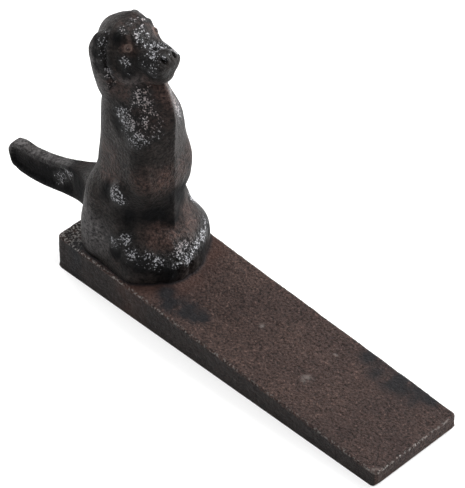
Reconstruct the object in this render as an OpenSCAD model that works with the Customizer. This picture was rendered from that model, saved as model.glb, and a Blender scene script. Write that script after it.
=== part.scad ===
// A door stop: a tapering iron wedge with a seated dog standing on its thick end.
// The dog is two hollow castings that meet on the mid-plane, drawn together by one sunk screw,
// and each half is held down by a screw that comes up through the wedge.
//
// +X runs from the thick rear end to the thin tip, +Y to the dog's left, +Z up.
// The origin is on the floor, on the mid-plane, half way between the tail's end and the wedge's tip.

/* [Wedge] */
// Length of the wedge
wedge_len = 171; // [160:1:190]
// Width of the wedge
wedge_w = 45; // [44:1:60]
// Height of the thick rear end
wedge_rear_h = 16.4; // [15:0.1:20]
// Height of the thin tip
wedge_tip_h = 7.3; // [5:0.1:10]
// Radius of the tip's upright corners
tip_corner_r = 1.6; // [0.5:0.1:4]
// Size of the break along the tip's lower edge
tip_bevel = 1.5; // [0.5:0.1:2.5]

/* [Dog] */
// Height of the whole door stop, to the top of the dog's head
overall_h = 124.6; // [118:0.1:132]
// How far the tail reaches behind the wedge
tail_reach = 48.5; // [40:0.5:55]
// Thickness of the tail across both halves
tail_t = 5; // [4:0.2:7]
// Radius of the hollow inside the body
hollow_r = 8.5; // [6:0.5:9]

/* [Screws] */
// Diameter of every screw
screw_d = 5; // [4:0.5:5]
// Diameter of the base screws' heads
head_d = 9; // [8:0.5:9.5]
// Height of the base screws' heads
head_h = 2.8; // [2:0.1:3]
// Thickness of the spring washers
washer_t = 1.2; // [0.8:0.1:1.4]

/* [Hidden] */

IRON_TOP = "#4b3f3d";
IRON_DOG = "#33312f";
STEEL = "#9a9a96";

// A small overlap, for cuts that have to break through a surface
eps = 0.1;
rear_x = (tail_reach - wedge_len) / 2;
slope_deg = atan((wedge_rear_h - wedge_tip_h) / wedge_len);

// Height of the wedge's sloping top at a distance x from its rear end
function top_z(x) = wedge_rear_h - x * tan(slope_deg);

// The dog is drawn this high above the wedge's rear top edge, with its tail reaching this far behind it.
drawn_h = 107.6;
drawn_reach = 48.5;
// What brings the drawn dog to its real height
dog_k = (overall_h - wedge_rear_h) / drawn_h;
BALL_FN = 24;
ROUND_FN = 48;

// Each ball is [x, y, z, radius]: x forward of the wedge's rear end, y out from the mid-plane,
// z up from the wedge's rear top edge.
TORSO = [
    [40.6, 0, 12, 2.5], [40.9, 0, 40, 2.5], [40.9, 0, 73, 2.5], [37, 0, 86, 3],
    [33, 7, 12, 7], [34.8, 8.2, 34, 5.6], [34.6, 7.6, 54, 6], [33.5, 6, 70, 6],
    [20, 1, 38, 12.2], [20.5, 1, 70, 11], [21, 1, 86, 9.5],
];
HAUNCH = [[24.5, 10.4, 34, 6.6], [17.5, 9.5, 26, 9.8], [17, 11, 12, 10.1], [27, 12, 14, 7]];
HIND_FOOT = [[15, 12, 2, 7.5], [36, 13.8, 2, 7.3], [35.5, 13, 10, 7], [24, 13.5, 10, 7]];
FRONT_PAWS = [[45.6, 3, -3, 6.5], [45.4, 3, 4, 6.2], [38, 12, 3, 8], [41, 4, 14, 5.5], [34, 10, 15, 6]];
HEAD = [[19.4, 0, 97, 10.6], [22.5, 1, 93.5, 9.4], [22, 3.5, 89, 7]];
MUZZLE = [[28, 2.4, 94, 7.4], [36.8, 1.4, 95.8, 5.8], [35.8, 1.4, 93, 5.4]];
EAR = [[15.4, 9.4, 98.4, 3.8], [16.4, 9.8, 88, 3.7], [19.4, 9.2, 78.4, 2.8]];
// The tail's side outline, from the top of its root round the tip to the bottom of its root
TAIL = [
    [14, 26], [-2.1, 19.6], [-12.3, 14.8], [-20.8, 11.2], [-28, 8.7], [-36, 6.9], [-43.5, 6.6], [-46.8, 4.6],
    [-48.5, 0.6], [-47.1, -5], [-43, -6.9], [-35.6, -6.9], [-28.8, -5.9], [-20, -3.8], [-10, -1], [14, 3],
];

// The hollow, on the mid-plane: a shaft up the body with a round top
hollow_x = 25;
hollow_low_z = 38;
hollow_top_z = 92;
boss_wall = 3.2;
boss_r = screw_d / 2 + boss_wall;

// Room on each side: round a screw in its clearance hole, round a thread in its tapped hole,
// and round a head in its counterbore
screw_clearance = 0.25;
thread_clearance = 0.05;
head_clearance = 0.75;
sunk_head_clearance = 0.4;
// How much further a tapped hole goes than its screw
tap_overrun = 1;
body_screw_x = 25;
body_screw_z = 72;
body_screw_seat = 9;
body_screw_len = 17;
base_screw_x = 27;
base_screw_y = 9.5;
base_screw_len = 20;
base_seat_z = 5.5;
thread_pitch = 0.8;
thread_depth = 0.45;
head_taper = 0.7;
washer_rim_gap = 0.2;
washer_bore_clearance = 0.15;

// ---------- shared shapes ----------

// Places what is drawn from the wedge's rear end
module from_rear_end() {
    translate([rear_x, 0, 0]) children();
}

module ball(b, side) {
    translate([b.x, side * b.y, b.z]) sphere(r = b[3], $fn = BALL_FN);
}

// One smooth lump across both sides of the mid-plane
module across(balls) {
    hull() for (b = balls) for (side = [-1, 1]) ball(b, side);
}

// One smooth lump on the right side only
module beside(balls) {
    hull() for (b = balls) ball(b, -1);
}

// ---------- wedge ----------

module wedge_side_profile() {
    polygon([
        [0, 0], [wedge_len - tip_bevel, 0], [wedge_len, tip_bevel],
        [wedge_len, wedge_tip_h], [0, wedge_rear_h],
    ]);
}

module wedge_plan() {
    half_w = wedge_w / 2;
    square_len = wedge_len - tip_corner_r;
    translate([0, -half_w]) square([square_len, wedge_w]);
    translate([square_len - eps, tip_corner_r - half_w])
        square([tip_corner_r + eps, wedge_w - 2 * tip_corner_r]);
    for (side = [-1, 1])
        translate([square_len, side * (half_w - tip_corner_r)]) circle(r = tip_corner_r, $fn = ROUND_FN);
}

// A through hole and counterbore for one base screw, with the screw's axis on Z
module base_screw_hole() {
    translate([0, 0, -eps])
        cylinder(d = screw_d + 2 * screw_clearance, h = wedge_rear_h + 2 * eps, $fn = ROUND_FN);
    translate([0, 0, -eps]) cylinder(d = head_d + 2 * head_clearance, h = base_seat_z + eps, $fn = ROUND_FN);
}

module wedge() {
    color(IRON_TOP) from_rear_end() difference() {
        intersection() {
            translate([0, wedge_w / 2, 0]) rotate([90, 0, 0]) linear_extrude(wedge_w) wedge_side_profile();
            linear_extrude(wedge_rear_h) wedge_plan();
        }
        for (side = [-1, 1]) translate([base_screw_x, side * base_screw_y, 0]) base_screw_hole();
    }
}

// ---------- dog ----------

// Stretches the tail behind the wedge, so that it reaches just as far as it should
function stretched(p) = p.x > 0 ? p : [p.x * tail_reach / (drawn_reach * dog_k), p.y];

module tail_slab() {
    rotate([90, 0, 0]) linear_extrude(tail_t / 2) polygon([for (p = TAIL) stretched(p)]);
}

module dog_outside() {
    translate([0, 0, wedge_rear_h]) scale(dog_k) {
        across(TORSO);
        across(FRONT_PAWS);
        across(HEAD);
        across(MUZZLE);
        beside(HAUNCH);
        beside(HIND_FOOT);
        beside(EAR);
        tail_slab();
    }
}

// The space of the wedge itself, and of all that is ahead of its rear face and under its top
module under_top_face() {
    reach = wedge_len;
    intersection() {
        rotate([0, slope_deg, 0]) translate([-reach / 2, -reach / 2, -reach]) cube([reach * 2, reach, reach]);
        translate([0, -reach, -reach]) cube(2 * reach);
    }
}

module hollow() {
    translate([hollow_x, 0, hollow_low_z])
        cylinder(r = hollow_r, h = hollow_top_z - hollow_low_z, $fn = ROUND_FN);
    translate([hollow_x, 0, hollow_top_z]) sphere(r = hollow_r, $fn = ROUND_FN);
}

// The right half's casting before its holes are made: hollow, with a boss for the body screw
module half_casting() {
    difference() {
        intersection() {
            dog_outside();
            translate([-wedge_len, -wedge_w, 0]) cube([2 * wedge_len, wedge_w, 2 * overall_h]);
        }
        translate([0, 0, wedge_rear_h]) under_top_face();
        difference() {
            hollow();
            translate([body_screw_x, 0, body_screw_z]) rotate([90, 0, 0])
                cylinder(r = boss_r, h = wedge_w, center = true, $fn = ROUND_FN);
        }
    }
}

module base_tapped_hole() {
    translate([base_screw_x, -base_screw_y, 0])
        cylinder(d = screw_d, h = base_seat_z + base_screw_len, $fn = ROUND_FN);
}

module dog_right_half() {
    color(IRON_DOG) from_rear_end() difference() {
        half_casting();
        base_tapped_hole();
        translate([body_screw_x, 0, body_screw_z]) rotate([90, 0, 0])
            cylinder(d = screw_d, h = body_screw_len - body_screw_seat + tap_overrun, $fn = ROUND_FN);
    }
}

module dog_left_half() {
    color(IRON_DOG) from_rear_end() mirror([0, 1, 0]) difference() {
        half_casting();
        base_tapped_hole();
        translate([body_screw_x, 0, body_screw_z]) rotate([90, 0, 0])
            cylinder(d = screw_d + 2 * screw_clearance, h = wedge_w, $fn = ROUND_FN);
        translate([body_screw_x, -body_screw_seat, body_screw_z]) rotate([90, 0, 0])
            cylinder(d = head_d + 2 * sunk_head_clearance, h = wedge_w, $fn = ROUND_FN);
    }
}

// ---------- screws and washers ----------

// A thread drawn as a stack of rings, from z = 0 up to len
module thread(len) {
    crest_r = screw_d / 2 - thread_clearance;
    root_r = crest_r - thread_depth;
    turns = floor(len / thread_pitch);
    flanks = [for (i = [0 : turns - 1]) each [
        [root_r, i * thread_pitch], [crest_r, (i + 0.5) * thread_pitch],
    ]];
    rotate_extrude($fn = ROUND_FN)
        polygon(concat([[0, 0]], flanks, [[root_r, turns * thread_pitch], [0, len]]));
}

// A slotted pan-head screw: the head's underside at z = 0, the thread up +Z
module machine_screw(len) {
    slot_w = 1.2;
    slot_depth = 1.3;
    plain_len = 3;
    difference() {
        translate([0, 0, -head_h])
            cylinder(d1 = head_d - 2 * head_taper, d2 = head_d, h = head_h, $fn = ROUND_FN);
        translate([-head_d / 2, -slot_w / 2, -head_h - eps]) cube([head_d, slot_w, slot_depth + eps]);
    }
    translate([0, 0, -eps]) cylinder(d = screw_d - 2 * thread_clearance, h = plain_len + eps, $fn = ROUND_FN);
    translate([0, 0, plain_len]) thread(len - plain_len);
}

// A split spring washer lying on z = 0, with its slanting cut
module spring_washer() {
    cut_w = 0.8;
    cut_slant = 20;
    difference() {
        cylinder(d = head_d - 2 * washer_rim_gap, h = washer_t, $fn = ROUND_FN);
        translate([0, 0, -eps])
            cylinder(d = screw_d + 2 * washer_bore_clearance, h = washer_t + 2 * eps, $fn = ROUND_FN);
        rotate([cut_slant, 0, 0]) translate([0, -cut_w / 2, -washer_t]) cube([head_d, cut_w, 3 * washer_t]);
    }
}

module body_screw() {
    color(STEEL) from_rear_end() translate([body_screw_x, body_screw_seat, body_screw_z]) rotate([90, 0, 0])
        machine_screw(body_screw_len);
}

// A base screw on one side: -1 is the right, 1 is the left
module base_screw(side) {
    color(STEEL) from_rear_end() translate([base_screw_x, side * base_screw_y, base_seat_z - washer_t])
        machine_screw(base_screw_len);
}

module base_washer(side) {
    color(STEEL) from_rear_end() translate([base_screw_x, side * base_screw_y, base_seat_z - washer_t])
        spring_washer();
}

wedge();
dog_right_half();
dog_left_half();
body_screw();
base_screw(-1);  // base_screw_right
base_screw(1);  // base_screw_left
base_washer(-1);  // base_washer_right
base_washer(1);  // base_washer_left
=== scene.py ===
import bpy
import numpy as np
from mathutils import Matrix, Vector


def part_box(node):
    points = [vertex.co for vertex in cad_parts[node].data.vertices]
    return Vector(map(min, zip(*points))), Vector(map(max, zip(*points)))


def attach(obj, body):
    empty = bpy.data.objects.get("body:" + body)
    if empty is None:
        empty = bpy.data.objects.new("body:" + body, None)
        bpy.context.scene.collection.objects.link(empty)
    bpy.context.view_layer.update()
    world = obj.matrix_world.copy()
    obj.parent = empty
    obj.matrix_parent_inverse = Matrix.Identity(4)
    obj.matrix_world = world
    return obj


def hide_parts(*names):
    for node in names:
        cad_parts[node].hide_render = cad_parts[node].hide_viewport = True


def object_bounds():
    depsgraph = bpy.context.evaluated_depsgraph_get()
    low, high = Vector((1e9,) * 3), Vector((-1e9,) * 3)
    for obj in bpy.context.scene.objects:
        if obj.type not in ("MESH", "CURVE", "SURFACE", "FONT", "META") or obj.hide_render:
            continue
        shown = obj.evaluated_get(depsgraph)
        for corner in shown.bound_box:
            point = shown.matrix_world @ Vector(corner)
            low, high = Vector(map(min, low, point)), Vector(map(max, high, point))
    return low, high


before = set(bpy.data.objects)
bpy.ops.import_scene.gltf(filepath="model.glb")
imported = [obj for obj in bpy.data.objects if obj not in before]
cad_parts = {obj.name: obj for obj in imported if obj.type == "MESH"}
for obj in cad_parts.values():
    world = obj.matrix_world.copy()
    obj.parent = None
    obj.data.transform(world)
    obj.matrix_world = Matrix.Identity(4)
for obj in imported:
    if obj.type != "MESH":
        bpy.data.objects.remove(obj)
CAD_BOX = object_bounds()

# Sizes in millimetres, from the frame
MM = 0.001
WEDGE_LOW, WEDGE_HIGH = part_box("wedge")
REAR_X = WEDGE_LOW.x / MM
WEDGE_LEN = (WEDGE_HIGH.x - WEDGE_LOW.x) / MM
WEDGE_W = (WEDGE_HIGH.y - WEDGE_LOW.y) / MM
WEDGE_REAR_H = WEDGE_HIGH.z / MM
OVERALL_H = CAD_BOX[1].z / MM
TAIL_REACH = REAR_X - CAD_BOX[0].x / MM

# Sizes that the frame's boxes don't show. All shapes below are in millimetres: x from the wedge's
# rear end, y from the mid-plane and z from the floor.
WEDGE_TIP_H = 7.3
TOP_SLOPE = (WEDGE_REAR_H - WEDGE_TIP_H) / WEDGE_LEN
TIP_BEVEL = 1.5
# How widely the wedge's corners in plan and the edges of its top are rounded
CORNER_SOFT = 2.4
EDGE_SOFT = 1.3

# Screws, their seats and the hollow inside the dog. The body screw's place is its x and z, and the base
# screws' is their x and their distance from the mid-plane.
BODY_SCREW_AT = (25, 72)
BODY_SCREW_END_Y = 9
BODY_SEAT_Y = 9
BODY_HEAD_R = 4.9
BASE_SCREW_AT = (27, 9.5)
BASE_SCREW_TOP = 25.5
BASE_SEAT_Z = 5.5
BASE_HEAD_R = 5.25
CLEAR_R = 2.75
TAPPED_R = 2.5
HOLLOW_X = 25
HOLLOW_LOW_Z = 38
HOLLOW_TOP_Z = 92
HOLLOW_R = 8.5
BOSS_R = 5.7

# The box that the dog is looked for in: how far forwards, out to each side and down it reaches
DOG_FRONT_X = 56
DOG_HALF_W = 24
DOG_LOW_Z = 7

# How fine the meshes are, and the angle in degrees past which an edge is shown sharp
GRID = 0.45
WEDGE_GRID = 0.65
SHARP_ANGLE = 50


# --- shapes as distance fields: negative inside, positive outside ---

# Further than any point of the object
FAR = 1e3


def curve(t, knots):
    """A smooth curve through (t, value) knots, level beyond its ends."""
    at = np.array([k[0] for k in knots], float)
    value = np.array([k[1] for k in knots], float)
    slope = np.gradient(value, at)
    t = np.clip(t, at[0], at[-1])
    i = np.clip(np.searchsorted(at, t) - 1, 0, len(at) - 2)
    gap = at[i + 1] - at[i]
    u = (t - at[i]) / gap
    rise = u * u * (3 - 2 * u)
    tangents = (u - 1) ** 2 * u * slope[i] + u * u * (u - 1) * slope[i + 1]
    return value[i] + rise * (value[i + 1] - value[i]) + gap * tangents


def join(a, b, soft):
    """Both shapes together, with a fillet about soft wide between them."""
    h = np.clip(0.5 + 0.5 * (b - a) / soft, 0, 1)
    return b + (a - b) * h - soft * h * (1 - h)


def meet(a, b, soft):
    """What two shapes share, with its edge rounded."""
    return -join(-a, -b, soft)


def carve(a, b, soft):
    """The first shape without the second, with its edge rounded."""
    return meet(a, -b, soft)


def cut(a, b):
    """The first shape without the second, with a sharp edge."""
    return np.maximum(a, -b)


def egg(p, at, radii, tilt=0):
    """An ellipsoid, tipped nose-up by tilt degrees."""
    turn = np.radians(tilt)
    dx, y, dz = p[0] - at[0], p[1] - at[1], p[2] - at[2]
    x = dx * np.cos(turn) + dz * np.sin(turn)
    z = dz * np.cos(turn) - dx * np.sin(turn)
    k0 = np.sqrt((x / radii[0]) ** 2 + (y / radii[1]) ** 2 + (z / radii[2]) ** 2)
    k1 = np.sqrt((x / radii[0] ** 2) ** 2 + (y / radii[1] ** 2) ** 2 + (z / radii[2] ** 2) ** 2)
    return k0 * (k0 - 1) / np.maximum(k1, 1e-6)


def rod(p, a, b, ra, rb):
    """A round-ended rod from a to b, its radius going from ra to rb."""
    a = np.array(a, float)
    way = np.array(b, float) - a
    x, y, z = p[0] - a[0], p[1] - a[1], p[2] - a[2]
    t = np.clip((x * way[0] + y * way[1] + z * way[2]) / (way @ way), 0, 1)
    return np.sqrt((x - t * way[0]) ** 2 + (y - t * way[1]) ** 2 + (z - t * way[2]) ** 2) - ra - t * (rb - ra)


def rail(p, *stops):
    """Rods through a row of (x, y, z, radius) stops."""
    field = None
    for a, b in zip(stops, stops[1:]):
        one = rod(p, a[:3], b[:3], a[3], b[3])
        field = one if field is None else np.minimum(field, one)
    return field


def wrapped(p, circles, turns=40):
    """The tight outline round circles, each an (x, |y|, radius) of arrays, level by level."""
    field = np.full(np.shape(p[0]), -FAR)
    for angle in np.linspace(0, np.pi, turns):
        c, s = np.cos(angle), np.sin(angle)
        reach = None
        for x, y, r in circles:
            one = c * x + s * y + r
            reach = one if reach is None else np.maximum(reach, one)
        np.maximum(field, c * p[0] + s * p[1] - reach, out=field)
    return field


# --- the dog: both sides share one shape, so y is the distance out from the mid-plane ---


def torso(p):
    """The body, level by level: a keel down the chest, an edge on each side of it, and a round back."""
    z = p[2]
    keel_x = curve(z, [(14, 41.6), (36, 41.6), (50, 41.8), (61, 42.2), (75, 42.2), (91, 42.2), (102, 38.4),
                       (112, 34)])
    keel = (keel_x, 0, 1.3)
    edge_x = curve(z, [(14, 33), (36, 32.4), (44, 32.6), (52, 34.4), (60, 34.8), (72, 33), (85, 31.8),
                       (95, 28), (105, 26)])
    edge_y = curve(z, [(14, 6), (36, 5.8), (44, 6.2), (52, 7.8), (60, 8.4), (72, 7), (85, 5.4),
                       (95, 2.8), (105, 2.4)])
    edge = (edge_x, edge_y, 6.8)
    back_x = curve(z, [(14, 19), (54, 20), (86, 20.6), (105, 21)])
    back_r = curve(z, [(14, 12.6), (54, 12.4), (66, 11.4), (86, 10.8), (97, 10), (108, 9.5)])
    back = (back_x, 1, back_r)
    return meet(wrapped(p, [keel, edge, back]), z - 106, 6)


def ruff(p):
    """The rounded tuft on each side of the chest."""
    return egg(p, (32.4, 6.0, 78), (6.8, 4.8, 10), 10)


def haunch(p):
    """The folded hind leg, with its knee."""
    thigh = rail(p, (24.5, 10.2, 49.5, 6.6), (17.5, 9.5, 42.4, 9.6), (17, 11, 28.4, 10.1), (17, 11, 20, 10.1))
    front = rail(p, (25.5, 10.4, 45, 6.4), (29, 11.6, 32, 7.6), (29, 12, 22, 7.6))
    knee = egg(p, (29.0, 12.4, 49.0), (4.6, 4.4, 5.4))
    knob = egg(p, (29.2, 15.0, 51.8), (3.8, 3.5, 4.6))
    return join(join(join(thigh, front, 4), knee, 3), knob, 1.2)


def feet(p):
    """The mound of paws in front, the hind foot beside it and their toes.

    The left side is a little larger.
    """
    z = p[2]
    larger = np.clip(p[3] / 6, 0, 1)
    front = (
        curve(z, [(13, 44.6), (20, 44.4), (25, 42.8), (29.4, 40.4), (33, 37), (36, 33)]),
        curve(z, [(13, 3.4), (20, 3.4), (30, 2.6), (36, 2)]) + larger,
        curve(z, [(13, 6.0), (20, 5.8), (25, 5.8), (30, 6.2), (36, 6.6)]),
    )
    side = (
        curve(z, [(13, 35.4), (24, 35.0), (30, 33), (36, 29)]) + 1.4 * larger,
        curve(z, [(13, 13.4), (20, 13.4), (26, 12.6), (31, 10), (36, 7)]),
        curve(z, [(13, 7.2), (24, 7.0), (31, 6.8), (36, 6.8)]) + 1.3 * larger,
    )
    heel = (15.5, 11.6, curve(z, [(13, 7.6), (24, 7.4), (31, 6), (36, 5)]))
    paws = meet(wrapped(p, [front, side, heel]), z - 37, 5)
    for x, y, rim in ((48.3, 2.4, 20.4), (46.9, 7.6, 20.2), (42.6, 12.2, 21.6), (35.6, 16.2, 24)):
        toe = rail(p, (x, y, 13, 2.4), (x, y, rim, 2.8), (x - 4.2, y * 0.88, rim + 4.6, 2.2))
        paws = join(paws, toe, 1.8)
    return paws


def tail(p):
    """The tail behind the wedge, with a dished side inside a rim."""
    x, y, z = p[:3]
    end = -48.5
    top = curve(x, [(end, 17.5), (-47, 20.8), (-44, 22.7), (-36, 23.4), (-28, 25.1), (-20.8, 27.6),
                    (-12.3, 31), (-4, 34.4), (6, 38.4), (14, 42)])
    low = curve(x, [(end, 16.5), (-47.2, 12), (-44, 9.8), (-38, 9.3), (-30, 10.3), (-22, 12.2),
                    (-14, 14.6), (-6, 17), (14, 20)])
    half = curve(x, [(end, 2.4), (-30, 2.5), (-14, 2.8), (-5, 4.2), (4, 7.5), (14, 11)])
    outline = np.maximum(np.maximum(z - top, low - z) * 0.9, np.maximum(end - x, x - 15))
    dish = np.clip((-1.9 - outline) / 0.9, 0, 1) * np.clip((-6 - x) / 6, 0, 1)
    return meet(outline, y - half + 1.3 * dish, 0.6)


def head(p):
    """The skull, cheek, brow and muzzle, with the eye in its socket and the nostril."""
    x, y, z = p[:3]
    skull = egg(p, (19.2, 0, 112.2), (13.1, 9.9, 11.8))
    lobe = egg(p, (19.4, 3.4, 113.7), (10.4, 7.0, 10.4))
    cheek = egg(p, (23, 5.5, 106.8), (9, 6, 6.4), 8)
    brow = rail(p, (20.8, 6.8, 115.8, 2.6), (22.8, 4.6, 119.2, 2.7), (27.5, 3.0, 116.4, 2.7),
                (34, 3, 115.2, 3.0))
    top = curve(x, [(20, 116.6), (26, 116.4), (30, 116.4), (36, 117.2), (41, 118.2)])
    low = curve(x, [(20, 101.8), (26, 102.4), (32, 103.6), (40, 104.8)])
    lip = curve(z, [(104, 0), (109.6, 0), (112, 1), (124, 1)])
    half = curve(x, [(20, 10), (27, 8.2), (33, 7), (41, 6)]) - 1.2 + 1.2 * lip
    # The front of the muzzle leans forwards by 2.4 in 13
    front = ((x - 42.7) * 13 - (z - 115) * 2.4) / 13.2
    muzzle = meet(meet(y - half, np.maximum(front, 20 - x), 4.5), np.maximum(z - top, low - z), 4)
    nose = egg(p, (38.8, 0, 116.2), (4.0, 4.6, 4.2), -15)
    body = join(join(join(skull, lobe, 1), cheek, 3), brow, 2)
    body = join(join(body, muzzle, 2.5), nose, 0.8)
    socket = egg(p, (28.4, 9.2, 119), (3.4, 3.4, 2.6), -30)
    body = carve(body, socket, 1.2)
    eye = egg(p, (25.7, 6.5, 117.8), (2.2, 2.2, 2.0))
    body = join(body, eye, 0.3)
    nostril = egg(p, (40.8, 2.4, 118.2), (1.3, 0.9, 1.3))
    return carve(body, nostril, 0.6)


def ear(p):
    """The hanging ear flap, with the raised strip in front of it."""
    x, y, z = p[:3]
    tip, top = 90, 121.5
    rear = curve(z, [(tip, 18), (91.5, 16), (99, 13.2), (107, 11.4), (116, 11.0), (119, 12.0), (top, 14.6)])
    fore = curve(z, [(tip, 19.6), (92, 21.4), (97, 21.8), (102.5, 20.9), (108.5, 19.1), (117, 17.4),
                     (top, 17)])
    face = curve(z, [(tip, 11.4), (98, 13.1), (106, 13.6), (115, 12.9), (top, 8.6)])
    flap = meet(np.maximum(rear - x, x - fore), np.maximum(tip - z, z - top), 2)
    bulge = 0.05 * (x - (rear + fore) / 2) ** 2
    flap = meet(flap, np.maximum(y - face + bulge, 6 - y), 1.2)
    strip = rail(p, (19.8, 9.6, 117, 1.8), (21.6, 10.4, 111, 2.2), (22.8, 9.6, 104.5, 1.6))
    return join(flap, strip, 1.2)


def dog(p):
    """The whole dog's outside. Its parts get x, |y|, z and y."""
    p = (p[0], np.abs(p[1]), p[2], p[1])
    body = join(torso(p), ruff(p), 3)
    body = join(body, haunch(p), 5)
    body = join(body, feet(p), 1.8)
    body = join(body, tail(p), 2.5)
    body = join(body, head(p), 1.2)
    return join(body, ear(p), 0.6)


# --- surfaces from fields ---

# How many fine cells a coarse one is across, and how near the surface, in coarse cells, is worked out finely
COARSE = 6
NEAR = 1.9
# The least steepness that a field is taken to have, squared
LEAST_STEEPNESS = 0.05
# How many points the lattice of random values has each way
LATTICE = 32


def axes(points):
    """The x, y and z of a row of points, as a field takes them."""
    return [points[:, 0], points[:, 1], points[:, 2]]


def refined(coarse):
    """Each coarse cell's value in all the fine cells that it holds."""
    return coarse.repeat(COARSE, 0).repeat(COARSE, 1).repeat(COARSE, 2)


def sampled(field, low, high, step):
    """The field at the middle of each cell in a box, exact only near its zero level."""
    blocks = np.ceil((high - low) / (step * COARSE)).astype(int)
    centres = [low[k] + (np.arange(blocks[k]) + 0.5) * step * COARSE for k in range(3)]
    rough = field(np.meshgrid(*centres, indexing="ij"))
    value = refined(rough).astype(np.float32)
    near = np.nonzero(refined(np.abs(rough) < step * COARSE * NEAR))
    value[near] = field([low[k] + (near[k] + 0.5) * step for k in range(3)])
    return value


def shifted(cells, along, steps):
    """The cells moved by one step along each of some axes."""
    moved = list(cells)
    for axis, step in zip(along, steps):
        moved[axis] = moved[axis] + step
    return moved


def surface(field, low, high, step=GRID):
    """A quad mesh of a field's zero level.

    Each cell that the level crosses gets a point, the mean of where it crosses the cell's edges. Each edge
    that it crosses gets a quad, which joins the points of the four cells round it.
    """
    low = np.array(low, float)
    value = sampled(field, low, np.array(high), step)
    inside = value < 0

    spans = (slice(None, -1), slice(1, None))
    corners = [inside[spans[i], spans[j], spans[k]] for i, j, k in np.ndindex(2, 2, 2)]
    cell = np.nonzero(np.logical_or.reduce(corners) & ~np.logical_and.reduce(corners))
    number = np.full(np.array(value.shape) - 1, -1)
    number[cell] = np.arange(len(cell[0]))

    total = np.zeros((len(cell[0]), 3))
    count = np.zeros(len(cell[0]))
    faces = []
    for axis in range(3):
        across = [k for k in range(3) if k != axis]
        for steps in ((0, 0), (0, 1), (1, 0), (1, 1)):
            start = shifted(cell, across, steps)
            end = shifted(start, [axis], [1])
            at_start, at_end = value[tuple(start)], value[tuple(end)]
            crossed = (at_start < 0) != (at_end < 0)
            t = np.where(crossed, at_start / np.where(crossed, at_start - at_end, 1), 0)
            point = np.stack([start[k] + (t if k == axis else 0) for k in range(3)], 1)
            total += point * crossed[:, None]
            count += crossed

        here = [slice(1, -1)] * 3
        there = [slice(1, -1)] * 3
        here[axis] = slice(0, -1)
        there[axis] = slice(1, None)
        crossing = np.nonzero(inside[tuple(here)] != inside[tuple(there)])
        base = [crossing[k] + (k != axis) for k in range(3)]
        around = [shifted(base, across, steps) for steps in ((-1, -1), (0, -1), (0, 0), (-1, 0))]
        quads = np.stack([number[tuple(corner)] for corner in around], 1)
        # The ring of corners turns the other way about the y axis
        flipped = inside[tuple(here)][crossing] == (axis == 1)
        quads[flipped] = quads[flipped][:, ::-1]
        faces.append(quads)
    points = low + (total / count[:, None] + 0.5) * step
    return points, np.concatenate(faces)


def slope_of(field, points, reach=0.05):
    """The field's gradient at each point."""
    parts = []
    for k in range(3):
        ahead = [points[:, i] + (reach if i == k else 0) for i in range(3)]
        behind = [points[:, i] - (reach if i == k else 0) for i in range(3)]
        parts.append((field(ahead) - field(behind)) / (2 * reach))
    return np.stack(parts, 1)


def outward(field, points):
    """The way out of the field's shape at each point."""
    slope = slope_of(field, points)
    return slope / np.maximum(np.linalg.norm(slope, axis=1), 1e-6)[:, None]


def settle(field, points, rounds=2, along=(1, 1, 1)):
    """Moves the points onto the field's zero level, only along the axes that are 1."""
    for _ in range(rounds):
        value = field(axes(points))
        slope = slope_of(field, points) * along
        steep = np.maximum((slope ** 2).sum(1), LEAST_STEEPNESS)
        points = points - np.clip(value / steep, -GRID, GRID)[:, None] * slope
    return points


def noise(points, size, seed):
    """Smooth random values from -1 to 1, on a lattice with the given spacing that repeats in the end."""
    table = np.random.default_rng(seed).uniform(-1, 1, (LATTICE, LATTICE, LATTICE))
    at = points / size
    whole = np.floor(at).astype(int)
    part = at - whole
    part = part * part * (3 - 2 * part)
    value = 0
    for corner in np.ndindex(2, 2, 2):
        weight = 1
        for k in range(3):
            weight = weight * (part[:, k] if corner[k] else 1 - part[:, k])
        i = (whole + corner) % LATTICE
        value = value + weight * table[i[:, 0], i[:, 1], i[:, 2]]
    return value


# --- the pieces' fields ---


def wedge_top(p):
    """Height above the wedge's slanted top."""
    return p[2] - (WEDGE_REAR_H - TOP_SLOPE * p[0])


def upright(p, at):
    """Distance from an upright line at (x, |y|)."""
    return np.sqrt((p[0] - at[0]) ** 2 + (np.abs(p[1]) - at[1]) ** 2)


def wedge_body(p):
    """The wedge's block without its holes: rounded corners in plan, and a rounded edge round the top."""
    sides = np.abs(p[1]) - WEDGE_W / 2
    ends = np.maximum(-p[0], p[0] - WEDGE_LEN)
    return meet(meet(sides, ends, CORNER_SOFT), wedge_top(p), EDGE_SOFT)


def wedge(p):
    """The wedge casting, with its two counterbored holes for the base screws."""
    x, _, z = p
    solid = np.maximum(wedge_body(p), -z)
    tip_bevel = (x - WEDGE_LEN - z + TIP_BEVEL) / np.sqrt(2)
    solid = np.maximum(solid, tip_bevel)
    from_screw = upright(p, BASE_SCREW_AT)
    solid = cut(solid, from_screw - CLEAR_R)
    return cut(solid, np.maximum(from_screw - BASE_HEAD_R, z - BASE_SEAT_Z))


def chamber(x, y, z, from_screw):
    """The round hollow inside the dog, with a dome on top and the body screw's boss left standing in it."""
    above = np.maximum(z - HOLLOW_TOP_Z, 0)
    domed = np.sqrt((x - HOLLOW_X) ** 2 + y ** 2 + above ** 2) - HOLLOW_R
    return cut(np.maximum(domed, HOLLOW_LOW_Z - z), from_screw - BOSS_R)


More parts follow.
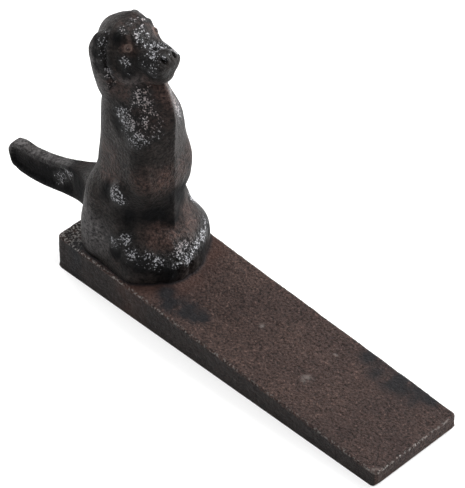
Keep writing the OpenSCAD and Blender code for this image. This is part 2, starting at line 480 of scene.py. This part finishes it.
def half_dog(side):
    """One half casting of the dog: side is 1 for the left and -1 for the right."""

    def field(p):
        x, y, z = p[0], p[1] * side, p[2]
        solid = np.maximum(dog(p), np.where(x > 0, -wedge_top(p), -FAR))
        solid = np.maximum(solid, -y)
        from_screw = np.sqrt((x - BODY_SCREW_AT[0]) ** 2 + (z - BODY_SCREW_AT[1]) ** 2)
        solid = cut(solid, chamber(x, y, z, from_screw))
        solid = cut(solid, np.maximum(upright(p, BASE_SCREW_AT) - TAPPED_R, z - BASE_SCREW_TOP))
        if side < 0:
            return cut(solid, np.maximum(from_screw - TAPPED_R, y - BODY_SCREW_END_Y))
        solid = cut(solid, from_screw - CLEAR_R)
        return cut(solid, np.maximum(from_screw - BODY_HEAD_R, BODY_SEAT_Y - y))

    return field


# --- meshes, and the values that their materials read ---


def make_mesh(name, points, faces):
    """A mesh object in the row frame from points in millimetres from the wedge's rear end."""
    mesh = bpy.data.meshes.new(name)
    place = np.clip((points + np.array([REAR_X, 0, 0])) * MM, CAD_BOX[0], CAD_BOX[1])
    mesh.vertices.add(len(place))
    mesh.vertices.foreach_set("co", place.astype(np.float32).ravel())
    mesh.loops.add(faces.size)
    mesh.loops.foreach_set("vertex_index", faces.astype(np.int32).ravel())
    mesh.polygons.add(len(faces))
    mesh.polygons.foreach_set("loop_start", np.arange(0, faces.size, 4, dtype=np.int32))
    mesh.polygons.foreach_set("use_smooth", np.ones(len(faces), bool))
    mesh.update(calc_edges=True)
    mesh.validate()
    mesh.set_sharp_from_angle(angle=np.radians(SHARP_ANGLE))
    piece = bpy.data.objects.new(name, mesh)
    bpy.context.scene.collection.objects.link(piece)
    return piece


# The eye's middle, and the worn ring round it
EYE = (27, 7.3, 119.2)
EYE_RING_R = 1.4
EYE_RING_HALF_W = 0.38

# Marks on both sides of the dog, each an (x, |y|, z, radius).
# Where the black paint still shines, and where its sparkles are painted into the colour as glints and
# bare-iron specks
GLOSSY_AND_GLINTS = [
    (22, 5, 123.0, 3.0), (21, 1, 124, 2.4), (25.5, 1.5, 122.5, 3.0), (28, 2.5, 120.8, 3.4),
    (31, 1, 118.6, 4.2), (34.5, 1.5, 118, 4.6), (36.5, 3, 117.9, 4.6), (38.7, 5.5, 116.5, 4.6),
    (34.5, 5.5, 116.5, 4.4), (38.5, 6.5, 112.5, 3.4), (40, 1.5, 118.8, 3),
    (27, 9.4, 113.7, 4.2), (28.2, 9.3, 110.5, 3.4), (27.5, 7.9, 119.6, 1.3),
    (16.3, 9.5, 120, 3.6), (17.4, 10.7, 117.4, 3.9), (18.2, 11.2, 114, 3.9), (19.2, 11.5, 110.6, 3.9),
    (20.3, 11.6, 107.6, 3.9), (21, 11.6, 104, 3.8), (21.3, 11.4, 100.5, 3.2),
    (27.4, 11.2, 90, 6.0), (30.8, 11.9, 86.5, 7.0), (35.3, 12, 82, 7.0),
    (33, 6.5, 99.7, 6.0), (34.5, 7.5, 95.5, 7.5), (38, 6.5, 89.5, 7.5), (38.9, 7.3, 85.5, 6.0),
    (30.0, 17.4, 52.2, 6.4), (28.5, 17.0, 54.5, 4.6),
    (-20.0, 1.6, 18.5, 4.4), (-17.5, 1.6, 22, 4.6), (-14.5, 1.8, 26, 4.6),
    (30, 19.3, 30, 4.8), (34.4, 17.2, 32.4, 5.0), (37.4, 17.4, 28, 5.8), (41.8, 14.9, 25.5, 5.8),
    (45.5, 11.6, 23.5, 5.8), (48.8, 4.6, 24, 6.2), (50.5, 0.7, 21.8, 5.4), (47.6, 1.8, 27, 4.8),
]
# Where rust shows through
RUSTY = [
    (35, 4.5, 102, 9), (40, 1.3, 100, 9), (24, 10.3, 102.5, 9), (30, 9, 101, 9), (27, 7.2, 118.5, 4.5),
    (21.3, 12.7, 65, 8), (25, 14, 60, 8), (39, 11.4, 63, 8), (42, 4, 60, 9), (36, 6, 90, 10),
    (25, 15.5, 57.5, 6), (20, 13.5, 57.5, 6), (41, 7.4, 33.7, 10), (43, 5, 33, 10), (47, 3, 31, 8),
    (22, 3, 121, 6), (-9, 4, 31, 6), (33, 17, 22, 6),
]
# Painted shade: where the iron is coloured darkest, mostly in hollows
PAINTED_SHADE_SPOTS = [
    (22, 7.8, 121.5, 4), (35, 6.1, 116, 5), (37, 6.6, 112.2, 6), (31, 7.8, 113.5, 6), (28, 9, 110, 5),
    (14.8, 11.3, 117.6, 3.4), (15.8, 12.8, 113, 3.6), (17, 13, 108, 3.6),
    (29, 12, 86, 9), (32.4, 16.1, 43.7, 8), (40.5, 8, 43.7, 9), (41.4, 0.8, 47, 9), (42.3, 2, 39, 8),
    (24.4, 17.6, 50.6, 6.5), (-18, 2.5, 18, 13), (-27, 2.5, 15, 12), (-36, 2.5, 13, 12), (-8, 3, 26, 12),
    (-43, 2.5, 13, 8),
    (31.5, 19.8, 25.5, 5), (36, 20, 23.5, 5), (40, 16, 22, 7), (47, 9, 19, 7),
]
# Painted sheen: where the skin is coloured a paler grey, on the faces that catch the side light
PAINTED_SHEEN_SPOTS = [
    (18, 21, 28, 12), (12, 20, 34, 9), (12, 12.5, 111, 9), (15, 13, 99, 9), (30, 9, 105, 6),
    (-14, 0, 31, 6), (-21, 0, 28.5, 6), (-28, 0, 26, 6), (-35, 0, 24.5, 6), (-42, 0, 23.5, 6),
    (-48, 0, 19, 5),
]

# Marks on the wedge, seen from above, each an (x, y, radius)
DARK_ON_WEDGE = [
    (52, -13.5, 6), (57, -15, 7), (63, -14, 7), (69, -13, 6),
    (128, 19, 6), (136, 18, 8), (144, 17.5, 9), (152, 18, 8.5), (158, 20, 6),
    (36, 21, 5), (4, -14, 8), (4, -4, 7), (4, 6, 7), (10, -20, 5),
]
SCUFFS = [(119.9, -6.3, 3.0), (88.7, 1.3, 1.6), (118.6, 10.4, 1.4), (169.8, -20.8, 2.6)]


def clamp(values):
    """The values held between 0 and 1."""
    return np.clip(values, 0, 1)


def within(away, radius):
    """1 in the middle of a mark, fading to 0 at its radius."""
    return clamp(1.5 * (1 - away / radius))


def away_from(points, x, y, z):
    """Each point's distance from a place on its own side of the dog."""
    return np.sqrt((points[:, 0] - x) ** 2 + (np.abs(points[:, 1]) - y) ** 2 + (points[:, 2] - z) ** 2)


def spots(points, marks):
    """How far inside any of the marks on the dog each point is, from 0 to 1."""
    here = np.zeros(len(points))
    for x, y, z, r in marks:
        here = np.maximum(here, within(away_from(points, x, y, z), r))
    return here


def places(points, marks):
    """How far inside any of the marks on the wedge each point is, from 0 to 1."""
    here = np.zeros(len(points))
    for x, y, r in marks:
        here = np.maximum(here, within(np.hypot(points[:, 0] - x, points[:, 1] - y), r))
    return here


def keep(piece, **layers):
    """Stores values for each point on the mesh, for its material to read."""
    for key, values in layers.items():
        layer = piece.data.attributes.new(key, "FLOAT", "POINT")
        layer.data.foreach_set("value", values.astype(np.float32))
    return piece


def on_seam(points):
    """Pulls the points at the mid-plane's edge onto the edge itself, so the halves close without a groove."""
    near = (np.abs(points[:, 1]) < 0.6 * GRID) & (np.abs(dog(axes(points))) < 0.6 * GRID)
    edge = points[near]
    edge[:, 1] = 0
    points[near] = settle(dog, edge, rounds=3, along=(1, 0, 1))
    return points


def dog_half(name, side):
    """One half of the dog as a mesh, with its cast skin and the values that dog_iron reads."""
    field = half_dog(side)
    low = (-TAIL_REACH - 2, min(0, side * DOG_HALF_W) - 2, DOG_LOW_Z)
    high = (DOG_FRONT_X, max(0, side * DOG_HALF_W) + 2, OVERALL_H + 3)
    points, faces = surface(field, low, high)
    points = on_seam(settle(field, points))
    normal = outward(dog, points)

    # Where the paint shines, and where glints are painted into the colour
    gloss = clamp(spots(points, GLOSSY_AND_GLINTS) * (0.9 + 0.6 * noise(points, 3.0, 11)))
    # Painted shade, mostly in hollows
    darkest = clamp(spots(points, PAINTED_SHADE_SPOTS) * (1.1 + 0.6 * noise(points, 6.0, 15)))
    # Painted sheen on the faces that catch the side light
    pale = clamp(spots(points, PAINTED_SHEEN_SPOTS) * (0.85 + 0.35 * noise(points, 6.0, 19)))
    rust = clamp(spots(points, RUSTY) * (0.8 + 0.6 * noise(points, 5, 17)))
    eye = clamp(1.2 - np.abs(away_from(points, *EYE) - EYE_RING_R) / EYE_RING_HALF_W)

    # The skin is only on the outside. It is rougher where the paint is left, and fades out at the foot.
    # Nothing moves sideways, so the seam stays closed.
    rough = 0.12 * noise(points, 4.0, 3) + 0.07 * noise(points, 1.6, 5)
    rough = rough + gloss * (0.15 * noise(points, 1.5, 7) + 0.16 * noise(points, 1.0, 9))
    outside = np.abs(dog(axes(points))) < 0.1
    standing = clamp(wedge_top(axes(points)) / 1.5)
    points = points + (rough * outside * standing)[:, None] * normal * [1, 0, 1]
    return keep(make_mesh(name, points, faces), gloss=gloss, darkest=darkest, rust=rust, pale=pale, eye=eye)


def wedge_skin(points):
    """How far out the cast skin is at each point: below 0 in its pits, 0 at the floor and under the dog."""
    at = axes(points)
    skin = np.abs(wedge_body(at)) < 0.15
    rough = 0.14 * noise(points, 7, 21) + 0.09 * noise(points, 2.6, 23) + 0.07 * noise(points, 1.3, 25) - 0.30
    above_floor = clamp(at[2] / 2)
    clear_of_dog = clamp(dog([at[0], at[1], at[2] + 2]) / 2) * (at[0] > 4) + (at[0] <= 4)
    return np.minimum(rough, 0) * skin * above_floor * clear_of_dog


def wedge_marks(smooth, points):
    """The values that wedge_iron reads at each point, from its places before and after the skin's pits."""
    at = axes(smooth)
    depth = -wedge_top(at)
    # Worn edges along the top, more on the right side and at the ends, and a worn patch at the rear
    from_edge = np.abs(depth) + np.abs(np.minimum(WEDGE_W / 2 - np.abs(at[1]), WEDGE_LEN - at[0]))
    fading = np.interp(at[0], [0, 60, 110, WEDGE_LEN - 6, WEDGE_LEN], [0.9, 0.6, 0.4, 0.5, 0.9])
    worn = clamp(1.4 - from_edge / 0.8) * np.where(at[1] < 0, fading, 0.5 * fading)
    worn = np.maximum(worn, 0.5 * clamp(1.3 - at[0] / 10) * (depth < 0.5))
    # Dark places, painted shade on the sides and rear, a painted shadow line round the dog's foot, and a
    # stain in front
    dark = clamp(places(points, DARK_ON_WEDGE) * (1.0 + 0.8 * noise(points, 4, 29)))
    # Painted shade on the sides and rear, not on the tip end
    side = ((depth > 1.2) & (at[0] < WEDGE_LEN - 1)).astype(float)
    from_dog = dog([at[0], at[1], at[2] + 1])
    stain = clamp(1.2 - from_dog / 9) * clamp((at[0] - 28) / 10) * (0.8 + 0.8 * noise(points, 5, 33))
    # A painted shadow line round the dog's foot
    dark = np.maximum(dark, clamp(1.2 - from_dog / 1.2) * (1 - side))
    scuff = clamp(places(points, SCUFFS) * (0.5 + noise(points, 1.1, 31))) * (depth < 0.8)
    return {"worn": worn, "dark": dark, "scuff": scuff, "side": side, "stain": clamp(stain)}


def wedge_casting(name):
    """The wedge as a mesh, with its cast skin and the values that wedge_iron reads."""
    reach = WEDGE_W / 2 + 3
    points, faces = surface(wedge, (-3, -reach, -3), (WEDGE_LEN + 3, reach, WEDGE_REAR_H + 3), WEDGE_GRID)
    smooth = settle(wedge, points)
    points = smooth + wedge_skin(smooth)[:, None] * outward(wedge, smooth)
    return keep(make_mesh(name, points, faces), **wedge_marks(smooth, points))


# --- materials ---


def link(tree, a, b):
    """Joins an output socket to an input."""
    tree.links.new(a, b)


def new_material(name):
    """A material with its node tree and its shader."""
    material = bpy.data.materials.new(name)
    material.use_nodes = True
    tree = material.node_tree
    bsdf = next(n for n in tree.nodes if n.type == "BSDF_PRINCIPLED")
    return material, tree, bsdf


def node(tree, kind, **values):
    """A new shader node with its settings."""
    made = tree.nodes.new("ShaderNode" + kind)
    for key, value in values.items():
        setattr(made, key, value)
    return made


def cast_noise(tree, scale, detail, roughness=0.5):
    """A noise texture in the object's own coordinates, with about scale lumps to the metre."""
    where = node(tree, "TexCoord")
    made = node(tree, "TexNoise")
    link(tree, where.outputs["Object"], made.inputs["Vector"])
    made.inputs["Scale"].default_value = scale
    made.inputs["Detail"].default_value = detail
    made.inputs["Roughness"].default_value = roughness
    return made.outputs["Fac"]


def ramp(tree, value, stops):
    """A colour ramp with (place, colour) stops."""
    made = node(tree, "ValToRGB")
    elements = made.color_ramp.elements
    while len(elements) < len(stops):
        elements.new(0.5)
    for element, (place, colour) in zip(elements, stops):
        element.position = place
        element.color = (*colour, 1)
    link(tree, value, made.inputs["Fac"])
    return made.outputs["Color"]


def grey(level):
    """A colour with the same red, green and blue."""
    return (level, level, level)


# How much both irons mirror
IRON_SPECULAR = 0.11

# The sockets of a Mix node that are used for colours
MIX_FACTOR, MIX_A, MIX_B, MIX_RESULT = 0, 6, 7, 2


def mix(tree, how, factor, a, b):
    """Two colours mixed. Each input is a socket, a colour or, for the factor, a number."""
    made = node(tree, "Mix", data_type="RGBA", blend_type=how)
    for index, value in ((MIX_FACTOR, factor), (MIX_A, a), (MIX_B, b)):
        slot = made.inputs[index]
        if hasattr(value, "is_linked"):
            link(tree, value, slot)
        elif isinstance(value, tuple):
            slot.default_value = (*value, 1)
        else:
            slot.default_value = value
    return made.outputs[MIX_RESULT]


def attribute(tree, name):
    """A value that the mesh holds for each point."""
    made = node(tree, "Attribute")
    made.attribute_name = name
    return made.outputs["Fac"]


def bump(tree, bsdf, *layers):
    """Stacks (height, strength, distance) bumps onto the shader."""
    last = None
    for height, strength, distance in layers:
        made = node(tree, "Bump")
        made.inputs["Strength"].default_value = strength
        made.inputs["Distance"].default_value = distance
        link(tree, height, made.inputs["Height"])
        if last:
            link(tree, last, made.inputs["Normal"])
        last = made.outputs["Normal"]
    link(tree, last, bsdf.inputs["Normal"])
    link(tree, last, bsdf.inputs["Coat Normal"])


def dog_iron():
    """Black paint over a brown sand-cast skin, with bright flecks where the paint still shines: painted
    glints and bare-iron specks in the base colour. Painted shade darkens its hollows, and a painted sheen
    pales the faces that catch the side light.
    """
    material, tree, bsdf = new_material("dog_cast_iron")
    cloud = cast_noise(tree, 90, 6, 0.6)
    grain = cast_noise(tree, 1300, 3, 0.7)
    fleck = cast_noise(tree, 800, 3, 0.65)
    facet = cast_noise(tree, 520, 3, 0.7)
    glint = cast_noise(tree, 1500, 1, 0.5)
    gloss = attribute(tree, "gloss")
    darkest = attribute(tree, "darkest")

    # The skin, from its black ground to the paint
    paint_black = (0.003, 0.003, 0.0035)
    black = ramp(tree, cloud, [(0.35, (0.0085, 0.0068, 0.0062)), (0.65, (0.022, 0.0175, 0.0160))])
    brown = ramp(tree, grain, [(0.35, (0.030, 0.0165, 0.0133)), (0.65, (0.074, 0.0450, 0.0387))])
    patches = ramp(tree, cloud, [(0.40, grey(0.5)), (0.60, grey(1.0))])
    rusty = mix(tree, "MULTIPLY", 1.0, attribute(tree, "rust"), patches)
    # Painted sheen: a paler grey on the faces that catch the side light
    colour = mix(tree, "MIX", attribute(tree, "pale"), black, (0.072, 0.067, 0.067))
    colour = mix(tree, "MIX", rusty, colour, brown)
    # Painted shade, mixed in towards the paint's black
    colour = mix(tree, "MIX", darkest, colour, paint_black)
    colour = mix(tree, "MIX", gloss, colour, paint_black)
    sand = ramp(tree, fleck, [(0.38, grey(0.1)), (0.50, grey(0.8)), (0.62, grey(1.2)), (0.72, grey(2.2))])
    colour = mix(tree, "MULTIPLY", 0.9, colour, sand)

    # The sparks are the tops of a fine noise, painted into the colour as glints and bare-iron specks. Gloss
    # moves the level they start at, so they get sparser and not dimmer where it fades.
    dense = mix(tree, "MULTIPLY", 1.0, gloss, grey(0.22))
    glints_and_bare_specks = mix(tree, "ADD", 1.0, dense, mix(tree, "MIX", 0.4, glint, fleck))
    glints_and_bare_specks = ramp(tree, glints_and_bare_specks, [(0.715, grey(0)), (0.745, grey(0.35)), (0.79, grey(1))])
    glint_and_bare_iron = mix(tree, "MIX", rusty, (0.36, 0.36, 0.38), (0.24, 0.175, 0.155))
    colour = mix(tree, "MIX", glints_and_bare_specks, colour, glint_and_bare_iron)
    colour = mix(tree, "MIX", attribute(tree, "eye"), colour, (0.115, 0.083, 0.070))
    link(tree, colour, bsdf.inputs["Base Color"])

    # Matt iron, duller in the hollows, with a thin clear coat where the paint is left
    bsdf.inputs["Specular IOR Level"].default_value = IRON_SPECULAR
    matt = ramp(tree, grain, [(0.3, grey(0.42)), (0.7, grey(0.62))])
    matt = mix(tree, "MIX", darkest, matt, grey(0.9))
    link(tree, mix(tree, "MIX", gloss, matt, grey(0.35)), bsdf.inputs["Roughness"])
    bsdf.inputs["Coat Roughness"].default_value = 0.12
    bsdf.inputs["Coat IOR"].default_value = 1.45
    link(tree, mix(tree, "MULTIPLY", 1.0, gloss, grey(0.15)), bsdf.inputs["Coat Weight"])
    relief = mix(tree, "MULTIPLY", 1.0, facet, ramp(tree, gloss, [(0, grey(0.2)), (1, grey(1))]))
    bump(tree, bsdf, (relief, 1.0, 0.0022), (fleck, 0.8, 0.0009))
    return material


# What covers the wedge's skin: the value that says where, how strongly it covers, and its colour
WEDGE_LAYERS = (
    # Painted shade on the wedge's sides and rear
    ("side", 0.75, (0.010, 0.009, 0.009)),
    ("stain", 0.4, (0.052, 0.024, 0.018)),
    # Dark marks, and a painted shadow line round the dog's foot
    ("dark", 0.9, (0.006, 0.0065, 0.008)),
    ("scuff", 0.6, (0.17, 0.15, 0.14)),
)


def wedge_iron():
    """A rust-brown sand-cast skin with pale specks, dark marks and edges worn to bare iron, with painted
    shade on its sides and rear and a painted shadow line round the dog's foot.
    """
    material, tree, bsdf = new_material("wedge_cast_iron")
    cloud = cast_noise(tree, 45, 7, 0.65)
    grain = cast_noise(tree, 1050, 3, 0.7)
    fleck = cast_noise(tree, 560, 4, 0.75)
    chip = cast_noise(tree, 1100, 2, 0.6)

    base = ramp(tree, cloud, [(0.35, (0.031, 0.0192, 0.0172)), (0.65, (0.0505, 0.0312, 0.0264))])
    speck = ramp(tree, grain, [(0.38, grey(0.05)), (0.50, grey(0.8)), (0.62, grey(1.1)), (0.72, grey(3.4))])
    colour = mix(tree, "MULTIPLY", 0.85, base, speck)
    for name, strength, tint in WEDGE_LAYERS:
        cover = ramp(tree, attribute(tree, name), [(0, grey(0)), (1, grey(strength))])
        colour = mix(tree, "MIX", cover, colour, tint)
    chipped = ramp(tree, chip, [(0.50, grey(0)), (0.60, grey(1))])
    worn = mix(tree, "MULTIPLY", 1.0, attribute(tree, "worn"), chipped)
    colour = mix(tree, "MIX", worn, colour, (0.42, 0.40, 0.38))
    link(tree, colour, bsdf.inputs["Base Color"])

    bsdf.inputs["Specular IOR Level"].default_value = IRON_SPECULAR
    matt = ramp(tree, fleck, [(0.3, grey(0.42)), (0.7, grey(0.75))])
    link(tree, mix(tree, "MIX", worn, matt, grey(0.3)), bsdf.inputs["Roughness"])
    bump(tree, bsdf, (fleck, 0.9, 0.0009), (grain, 0.8, 0.0005))
    return material


def screw_steel():
    """Dull zinc-plated steel."""
    material, tree, bsdf = new_material("screw_steel")
    cloud = cast_noise(tree, 500, 5)
    colour = ramp(tree, cloud, [(0.35, (0.22, 0.21, 0.20)), (0.65, (0.42, 0.41, 0.40))])
    link(tree, colour, bsdf.inputs["Base Color"])
    bsdf.inputs["Metallic"].default_value = 1.0
    link(tree, ramp(tree, cloud, [(0.3, grey(0.25)), (0.7, grey(0.5))]), bsdf.inputs["Roughness"])
    bump(tree, bsdf, (cloud, 0.3, 0.0001))
    return material


def paint(piece, material):
    """Gives all of a piece one material."""
    if not piece.material_slots:
        piece.data.materials.append(material)
    for slot in piece.material_slots:
        slot.material = material


# --- the pieces ---

DOG_IRON = dog_iron()
WEDGE_IRON = wedge_iron()
SCREW_STEEL = screw_steel()

for name, side in (("dog_right_half", -1), ("dog_left_half", 1)):
    casting = dog_half(name + "_casting", side)
    paint(casting, DOG_IRON)
    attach(casting, "root")
    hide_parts(name)

casting = wedge_casting("wedge_casting")
paint(casting, WEDGE_IRON)
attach(casting, "root")
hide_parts("wedge")
for name in ("body_screw", "base_screw_right", "base_screw_left", "base_washer_right", "base_washer_left"):
    paint(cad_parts[name], SCREW_STEEL)


# --- stage, light and camera ---

FLOOR_HALF = 3.0
CENTRE = (CAD_BOX[0] + CAD_BOX[1]) / 2

# The camera: what it looks at and how far away it is, in metres, its angles in degrees and its lens in mm
AIM = Vector((0.0038, 0.0092, 0.0332))
CAMERA_AZIMUTH = 44.7
CAMERA_ELEVATION = 43.56
CAMERA_DISTANCE = 1.739
CAMERA_LENS = 336
CAMERA_SENSOR = 36

# Each light's name, turn from the camera and elevation in degrees, distance and size in metres, and watts
LIGHTS = (
    ("left_softbox", -135, 28, 0.9, (0.6, 0.9), 8),
    ("right_softbox", 115, 28, 0.9, (0.6, 0.9), 21),
    ("top_softbox", 180, 65, 1.0, (1.0, 1.0), 2.0),
    ("left_key", -30, 62, 1.0, (0.12, 0.12), 2.0),
    ("right_key", 45, 50, 1.0, (0.12, 0.12), 2.0),
)


def direction(azimuth, elevation):
    """The way out from the object: azimuth 0 is straight in front of its right side, 90 is its front end."""
    a, e = np.radians(azimuth), np.radians(elevation)
    return Vector((np.sin(a) * np.cos(e), -np.cos(a) * np.cos(e), np.sin(e)))


def add_floor():
    """A pale floor that glows a little, so that it shows nearly white."""
    mesh = bpy.data.meshes.new("studio_floor")
    corners = [(x * FLOOR_HALF, y * FLOOR_HALF, 0) for x, y in ((-1, -1), (1, -1), (1, 1), (-1, 1))]
    mesh.from_pydata(corners, [], [(0, 1, 2, 3)])
    floor = bpy.data.objects.new("studio_floor", mesh)
    bpy.context.scene.collection.objects.link(floor)
    material, _, bsdf = new_material("floor_paper")
    bsdf.inputs["Base Color"].default_value = (0.6, 0.6, 0.6, 1)
    bsdf.inputs["Emission Color"].default_value = (1, 1, 1, 1)
    bsdf.inputs["Emission Strength"].default_value = 0.42
    bsdf.inputs["Roughness"].default_value = 0.9
    paint(floor, material)


def add_light(name, azimuth, elevation, distance, size, power):
    """A rectangular light that faces the object's middle."""
    lamp = bpy.data.lights.new(name, "AREA")
    lamp.shape = "RECTANGLE"
    lamp.size, lamp.size_y = size
    lamp.energy = power
    made = bpy.data.objects.new(name, lamp)
    way = direction(azimuth, elevation)
    made.location = CENTRE + way * distance
    made.rotation_euler = way.to_track_quat("Z", "Y").to_euler()
    bpy.context.scene.collection.objects.link(made)


def add_camera():
    """The camera, at the photograph's viewing angle."""
    lens = bpy.data.cameras.new("camera")
    lens.lens = CAMERA_LENS
    lens.sensor_width = CAMERA_SENSOR
    camera = bpy.data.objects.new("camera", lens)
    way = direction(CAMERA_AZIMUTH, CAMERA_ELEVATION)
    camera.location = AIM + way * CAMERA_DISTANCE
    camera.rotation_euler = way.to_track_quat("Z", "Y").to_euler()
    bpy.context.scene.collection.objects.link(camera)
    bpy.context.scene.camera = camera


add_floor()
for name, turn, elevation, distance, size, power in LIGHTS:
    add_light(name, CAMERA_AZIMUTH + turn, elevation, distance, size, power)
add_camera()

world = bpy.data.worlds.new("studio")
bpy.context.scene.world = world
world.use_nodes = True
background = world.node_tree.nodes["Background"]
background.inputs["Color"].default_value = (1, 1, 1, 1)
background.inputs["Strength"].default_value = 0.3
bpy.context.scene.view_settings.view_transform = "Standard"
